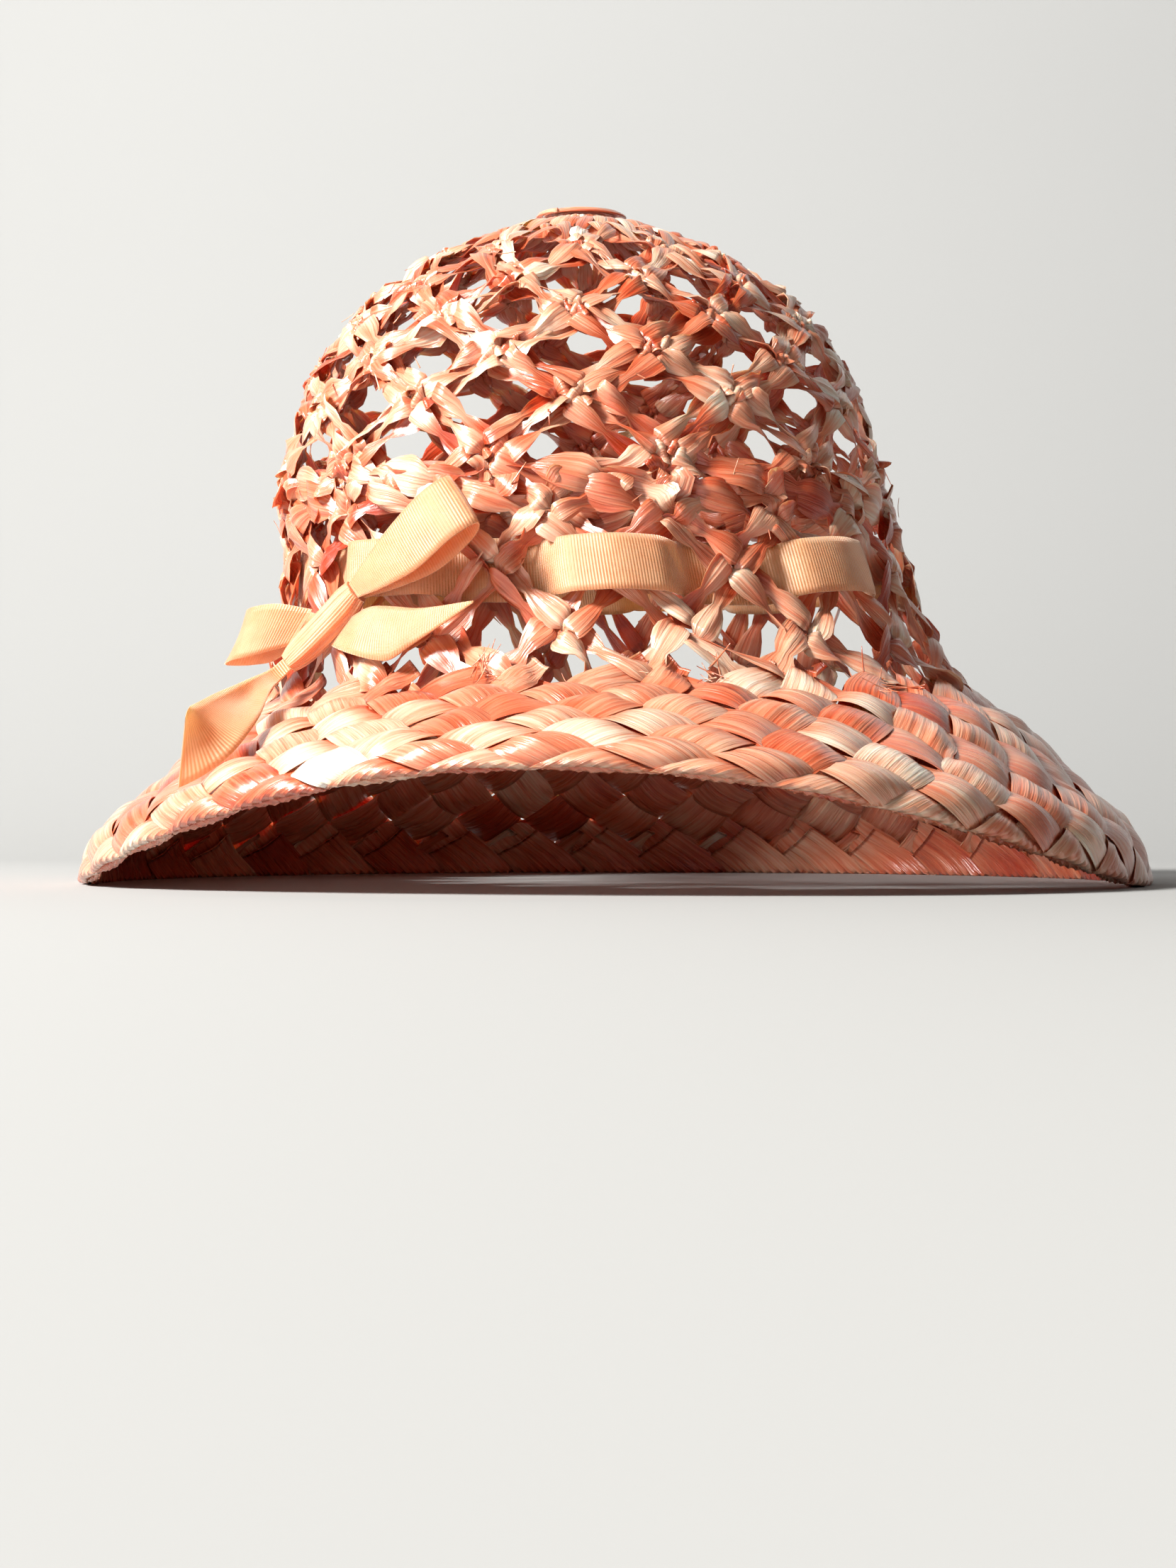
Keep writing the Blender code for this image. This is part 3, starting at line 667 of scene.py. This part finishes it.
def buildFray():
    # Split ends and stray fibres that stand off the straw
    rng = np.random.default_rng(15)
    piece = Piece("strawFray", straw)
    spots = []
    aside, upward = fray["tuftSpread"]
    for place, row, count in fray["tufts"]:
        for _ in range(count):
            spots.append((place + rng.normal(0, aside), row + rng.normal(0, upward), fray["tuftStretch"]))
    for _ in range(fray["singles"]):
        place, row = rng.uniform(0, hat["strands"]), rng.uniform(*fray["singleRows"])
        spots.append((place, row, fray["singleStretch"]))
    for place, row, stretch in spots:
        at, rows = np.array([place]), np.array([row])
        start = shell(at, rows, np.array([-fray["stand"]]))[0]
        out = skinNormal(at, rows)[0]
        side = unit(np.cross(out, np.array([0.0, 0.0, 1.0])))
        turn = rng.uniform(-fray["turn"], fray["turn"])
        run = side * math.sin(turn) + np.cross(side, out) * math.cos(turn) * rng.choice((-1, 1))
        t = np.linspace(0, 1, fray["steps"])[:, None]
        length = rng.uniform(*fray["length"]) * stretch
        line = start + length * (run * t + out * (fray["rise"] * t + rng.uniform(*fray["curl"]) * t ** 2))
        half = rng.uniform(*fray["halfWidth"]) * (1 - fray["taper"] * t)
        reach = unit(np.cross(run, out)) * half
        lift = out * fray["halfThickness"]
        corners = ((-1, 1), (1, 1), (1, -1), (-1, -1))
        rings = np.stack([line + a * reach + b * lift for a, b in corners], 1)
        uvAcross = half * np.array([[a for a, b in corners]])
        uvAlong = np.broadcast_to(t * length, rings.shape[:2])
        piece.addTube(rings, uvAcross, uvAlong, np.full((1, 1), rng.normal(*fray["tone"])))
    return piece.build([])


buildNetFamily("strawCrownRising", "rising", 11)
buildNetFamily("strawCrownFalling", "falling", 12)
buildBrimFamily("strawBrimRising", "rising", 13)
buildBrimFamily("strawBrimFalling", "falling", 14)
buildTip()
buildFray()
print("straw done")

band = {
    "row": 10.0, "firstPlace": -4.5, "patches": 18, "width": 0.0155, "steps": 22, "columns": 9,
    "over": -0.0013, "under": 0.0057, "bulge": 0.0024, "thickness": 0.00045,
    "cup": 0.0004, "narrowing": 0.10, "waviness": 0.0007, "waves": 5, "waveShare": 0.25,
    "wander": (0.12, 0.9), "dive": (0.22, 0.78), "humpFromBow": 0.6, "humpFront": (0.3, 0.7),
    "sidePatches": (6, 16),       # it stays under these, at the hat's sides
}


def addRibbonStrip(piece, middles, edges, normals, thickness, cup, closed):
    # A strip of ribbon: a middle line, half-width vectors, and a slight cup across it
    s = np.linspace(-1, 1, band["columns"])
    body = middles[:, None, :] + edges[:, None, :] * s[None, :, None]
    body = body + normals[:, None, :] * (cup[:, None] * (1 - s[None, :] ** 2))[..., None]
    top = body + normals[:, None, :] * thickness / 2
    bottom = body - normals[:, None, :] * thickness / 2
    rings = ringsOf(top, bottom)
    if closed:
        rings = np.concatenate([rings, rings[:1]])
        middles = np.concatenate([middles, middles[:1]])
        edges = np.concatenate([edges, edges[:1]])
    length = lengthAlong(middles)
    half = np.linalg.norm(edges, axis=1)
    uvAcross = acrossRing(half, s)
    uvAlong = np.broadcast_to(length[:, None], uvAcross.shape)
    piece.addTube(rings, uvAcross, uvAlong, np.zeros((1, 1)))
    area = float(np.sum((half[1:] + half[:-1]) * np.diff(length)))
    return float(length[-1]), area


def buildBand():
    rng = np.random.default_rng(21)
    piece = Piece("ribbonBand", ribbon)
    patches = band["patches"]                     # half of them over the net, half under it
    t = np.arange(patches * band["steps"]) / band["steps"]
    place = band["firstPlace"] + 2 * t
    blend = smooth((1 + np.cos(math.pi * t)) / 2, *band["dive"])    # 1 over the net, 0 under it
    for side in band["sidePatches"]:
        blend = np.where(np.abs(t - side) < 1, 0, blend)
    depth = band["under"] + (band["over"] - band["under"]) * blend
    fromBow = np.minimum(t, patches - t)
    hump = np.cos(math.pi * t) ** 2 * (np.cos(math.pi * t) > 0)
    hump = hump * (fromBow > band["humpFromBow"]) * (blend > 0)
    front = np.cos(2 * math.pi * (place + hat["turn"]) / hat["strands"])
    depth = depth - band["bulge"] * hump * smooth(front, *band["humpFront"])
    wave = np.sin(2 * math.pi * (t / patches * band["waves"])) * band["waveShare"]
    wave = wave + swayed(rng, t, band["wander"])
    wave = wave * smooth(fromBow, 0, 1)
    rowStep = np.linalg.norm(skin(place, band["row"] + 1) - skin(place, band["row"] - 1), axis=1) / 2
    narrow = 1 - band["narrowing"] * (1 - np.abs(np.cos(math.pi * t)) ** 0.5)
    reach = band["width"] / 2 * narrow / rowStep
    row = band["row"] + band["waviness"] * wave / rowStep
    low, high = shell(place, row - reach, depth), shell(place, row + reach, depth)
    middles, edges = (low + high) / 2, (high - low) / 2
    run = np.roll(middles, -1, 0) - np.roll(middles, 1, 0)
    normals = unit(np.cross(run, edges))
    cup = band["cup"] * blend
    length, area = addRibbonStrip(piece, middles, edges, normals, band["thickness"], cup, True)
    made = piece.build(["ribbon_band"])
    print("ribbon band length", round(length, 3))


buildBand()

# The bow's tables follow the CAD model's, a little wider and softer, as shares of its reach
bow = {
    "place": -4.5, "row": 9.0, "reach": 0.050, "knotHalfWidth": 0.0046, "knotHalfDepth": 0.0034,
    "width": 0.0155, "steps": 10, "thickness": 0.00045, "seat": 0.0002,
    "proud": 0.0032,              # from the straw's outside to the knot's back
    "knotRing": 48, "wrapScale": 0.0040, "foldFloor": 0.88, "foldPower": 0.7,
    # folds round the knot: depth, how many, twist along it
    "folds": (0.20, 2.5, 1.1), "fineFolds": (0.035, 9, -2),
    "knot": (
        # along, up, out, size
        (-0.090, 0.020, -0.030, 0.76), (-0.150, -0.035, -0.022, 0.94),
        (-0.240, -0.110, -0.010, 0.94), (-0.360, -0.215, 0.018, 0.90),
        (-0.440, -0.285, 0.043, 0.80), (-0.490, -0.330, 0.063, 0.60),
    ),
    "frontLoop": (
        # along, up, out, tilt, turn, wide
        (0.000, 0.000, 0.022, -42, 0, 0.32), (0.200, 0.068, 0.085, -38, 0, 0.62),
        (0.430, 0.182, 0.110, -36, 0, 0.92), (0.630, 0.333, 0.080, -37, 0, 1.00),
        (0.720, 0.405, -0.005, -38, 0, 1.00), (0.635, 0.345, -0.070, -37, 0, 1.00),
        (0.430, 0.200, -0.045, -36, 0, 0.98), (0.210, 0.090, -0.008, -36, 0, 0.72),
        (0.000, 0.000, -0.022, -42, 0, 0.32),
    ),
    "backLoop": (
        (0.000, 0.000, 0.024, 42, 0, 0.76), (-0.174, -0.008, 0.110, 34, 0, 1.00),
        (-0.334, -0.023, 0.125, 32, 0, 1.02), (-0.454, -0.038, 0.050, 32, 0, 1.02),
        (-0.354, -0.038, -0.040, 32, 0, 1.02), (-0.184, -0.023, -0.050, 34, 0, 1.00),
        (0.000, 0.000, -0.024, 42, 0, 0.60),
    ),
    "frontTail": (
        (0.000, 0.000, 0.000, 48, 0, 0.66), (0.174, -0.008, 0.040, 20, -12, 0.82),
        (0.304, -0.026, 0.040, 3, -12, 0.90), (0.404, -0.032, 0.035, 0, -12, 0.88),
        (0.534, -0.005, 0.025, 0, -10, 0.60), (0.674, 0.031, 0.015, 0, -8, 0.37),
        (0.916, 0.097, 0.010, 0, 0, 0.03),
    ),
    "backTail": (
        (0.000, -0.003, 0.002, -42, 0, 0.25), (-0.012, -0.072, 0.090, -50, 6, 0.30),
        (0.085, -0.135, 0.290, -64, 24, 0.46), (0.220, -0.245, 0.550, -58, 30, 0.80),
        (0.280, -0.350, 0.740, -42, 26, 0.96), (0.265, -0.420, 0.830, -14, 16, 1.02),
        (0.215, -0.490, 0.905, 12, 3, 1.10),
    ),
    "roots": {"frontLoop": (0.0, 0), "backLoop": (0.6, -1), "frontTail": (0.4, 1), "backTail": (1.0, 0)},
}

bowOut = skinNormal(np.array([bow["place"]]), np.array([bow["row"]]))[0]
bowOut[2] = 0
bowOut = unit(bowOut)
bowUp = np.array([0.0, 0.0, 1.0])
bowAlong = np.cross(bowUp, bowOut)


def bowVector(along, up, out):
    parts = [np.atleast_1d(np.asarray(v, float))[:, None] for v in (along, up, out)]
    return parts[0] * bowAlong + parts[1] * bowUp + parts[2] * bowOut


def readTable(table, steps):
    numbered = [(i, *line) for i, line in enumerate(table)]
    at = np.linspace(0, len(table) - 1, (len(table) - 1) * steps + 1)
    return [curveThrough(numbered, c)(at) for c in range(1, len(numbered[0]))]


def knotLine(steps):
    along, up, out, size = readTable(bow["knot"], steps)
    place, row = np.array([bow["place"]]), np.array([bow["row"]])
    patch = skin(place, row) + skinNormal(place, row) * bow["proud"]
    middles = patch + bowOut * bow["knotHalfDepth"] + bow["reach"] * bowVector(along, up, out)
    run = unit(np.gradient(middles, axis=0))
    side = unit(np.cross(bowOut, run))
    return middles, run, side, size


def knotRoot(share, face):
    middles, run, side, size = knotLine(3)
    i = round(share * (len(middles) - 1))
    if face == 0:
        return middles[i] + run[i] * (bow["seat"] if share == 1.0 else -bow["seat"])
    return middles[i] + face * side[i] * (bow["knotHalfWidth"] * size[i] + bow["seat"])


def buildBowStrip(name, key, solid, cupHeight, seed):
    rng = np.random.default_rng(seed)
    piece = Piece(name, ribbon)
    along, up, out, tilt, turn, wide = readTable(bow[key], bow["steps"])
    root = knotRoot(*bow["roots"][key])
    middles = root + bow["reach"] * bowVector(along, up, out)
    tilt, turn = np.radians(tilt), np.radians(turn)
    edges = bowVector(np.cos(turn) * np.sin(tilt), np.cos(turn) * np.cos(tilt), np.sin(turn))
    edges = edges * (np.maximum(wide, 0.02) * bow["width"] / 2)[:, None]
    normals = unit(np.cross(np.gradient(middles, axis=0), edges))
    share = np.linspace(0, 1, len(middles))
    cup = cupHeight * np.sin(math.pi * share) * (1 + 0.4 * wander(rng, share, 0.2))
    length, area = addRibbonStrip(piece, middles, edges, normals, bow["thickness"], cup, False)
    made = piece.build([solid])
    return made


def buildKnot():
    # The knot is a wrap of ribbon with soft folds along its slant
    piece = Piece("bowKnot", ribbon)
    middles, run, side, size = knotLine(8)
    angle = np.linspace(0, 2 * math.pi, bow["knotRing"], endpoint=False)
    lift = np.cross(run, side)
    share = np.linspace(0, 1, len(middles))
    depth, count, twist = bow["folds"]
    folded = np.abs(np.cos(angle[None, :] * count + twist * share[:, None])) ** bow["foldPower"]
    folds = bow["foldFloor"] + depth * folded
    depth, count, twist = bow["fineFolds"]
    folds = folds + depth * np.cos(angle[None, :] * count + twist * share[:, None])
    wide = bow["knotHalfWidth"] * size[:, None] * folds * np.cos(angle)[None, :]
    deep = bow["knotHalfDepth"] * size[:, None] * folds * np.sin(angle)[None, :]
    rings = middles[:, None, :] + side[:, None, :] * wide[..., None] + lift[:, None, :] * deep[..., None]
    uvAlong = np.broadcast_to((angle * bow["wrapScale"])[None, :], rings.shape[:2])
    uvAcross = np.broadcast_to(lengthAlong(middles)[:, None], rings.shape[:2])
    piece.addTube(rings, uvAcross, uvAlong, np.zeros((1, 1)))
    return piece.build(["bow_knot"])


buildKnot()
buildBowStrip("bowLoopFront", "frontLoop", "bow_loop_front", 0.0006, 31)
buildBowStrip("bowLoopBack", "backLoop", "bow_loop_back", 0.0006, 32)
buildBowStrip("bowTailFront", "frontTail", "bow_tail_front", 0.0010, 33)
buildBowStrip("bowTailBack", "backTail", "bow_tail_back", 0.0010, 34)
print("ribbon and bow done")

studio = {
    "sweepFront": -2.6, "sweepBend": 0.5, "bendRadius": 0.6, "bendSteps": 12,
    "sweepTop": 3.0, "sweepHalfWidth": 3.0,
    "sweepStops": ((0.3, (0.38, 0.381, 0.375)), (0.7, (0.40, 0.401, 0.395))),
    "lamps": (
        # name, place, target, size, power, colour
        ("windowLeft", (-1.24, -0.78, 1.05), (0, 0, 0.10), (0.40, 0.40), 84, (1.0, 0.985, 0.955)),
        ("fillFront", (-0.5, -1.4, 0.30), (0, 0, 0.08), (1.2, 0.4), 2.4, (1.0, 0.97, 0.94)),
        ("rimBack", (0.8, 0.9, 1.2), (0, 0, 0.12), (0.7, 0.7), 1, (1.0, 0.94, 0.88)),
        ("wallWash", (0.35, 0.2, 1.0), (0.35, 1.1, 0.75), (2.0, 0.6), 9, (1, 1, 1)),
    ),
    "roomColour": (1.0, 0.95, 0.91, 1), "roomStrength": 0.07,
    "cameraPlace": (0.0, -0.700, 0.015), "lens": 55.83, "sensor": 36.0,
    "photoHeight": 2212, "shiftPixels": (-38.5, 65.0),
}


def buildStage():
    # One sweep: a floor that curves up into a wall
    bend, radius, steps = studio["sweepBend"], studio["bendRadius"], studio["bendSteps"]
    profile = [(studio["sweepFront"], 0.0), (bend, 0.0)]
    for i in range(1, steps + 1):
        angle = i / steps * math.pi / 2
        profile.append((bend + radius * math.sin(angle), radius - radius * math.cos(angle)))
    profile.append((bend + radius, studio["sweepTop"]))
    half = studio["sweepHalfWidth"]
    points = [(x, y, z) for y, z in profile for x in (-half, half)]
    faces = [(2 * i, 2 * i + 1, 2 * i + 3, 2 * i + 2) for i in range(len(profile) - 1)]
    mesh = bpy.data.meshes.new("studioSweep")
    mesh.from_pydata(points, [], faces)
    mesh.polygons.foreach_set("use_smooth", [True] * len(faces))
    material, tree, shader = newMaterial("paleSweep")
    noise = node(tree, "ShaderNodeTexNoise", Scale=3.0, Detail=2.0)
    colour = colourRamp(tree, noise.outputs["Fac"], studio["sweepStops"])
    tree.links.new(colour, shader.inputs["Base Color"])
    shader.inputs["Roughness"].default_value = 0.9
    mesh.materials.append(material)
    sweep = bpy.data.objects.new("studioSweep", mesh)
    bpy.context.scene.collection.objects.link(sweep)


def addArea(name, place, target, size, power, colour):
    light = bpy.data.lights.new(name, "AREA")
    light.shape = "RECTANGLE"
    light.size, light.size_y = size
    light.energy = power
    light.color = colour
    lamp = bpy.data.objects.new(name, light)
    lamp.location = place
    lamp.rotation_euler = (Vector(target) - Vector(place)).to_track_quat("-Z", "Y").to_euler()
    bpy.context.scene.collection.objects.link(lamp)


buildStage()
for lamp in studio["lamps"]:
    addArea(*lamp)
world = bpy.data.worlds.new("paleRoom")
world.use_nodes = True
background = world.node_tree.nodes["Background"]
background.inputs["Color"].default_value = studio["roomColour"]
background.inputs["Strength"].default_value = studio["roomStrength"]
bpy.context.scene.world = world
bpy.context.scene.view_settings.view_transform = "Standard"

cameraData = bpy.data.cameras.new("camera")
cameraData.sensor_width = studio["sensor"]
cameraData.sensor_fit = "AUTO"
cameraData.lens = studio["lens"]
cameraData.shift_x, cameraData.shift_y = (pixels / studio["photoHeight"] for pixels in studio["shiftPixels"])
cameraData.clip_start = 0.01
camera = bpy.data.objects.new("camera", cameraData)
camera.location = studio["cameraPlace"]
camera.rotation_euler = (math.pi / 2, 0, 0)
bpy.context.scene.collection.objects.link(camera)
bpy.context.scene.camera = camera
print("stage, lights and camera done")
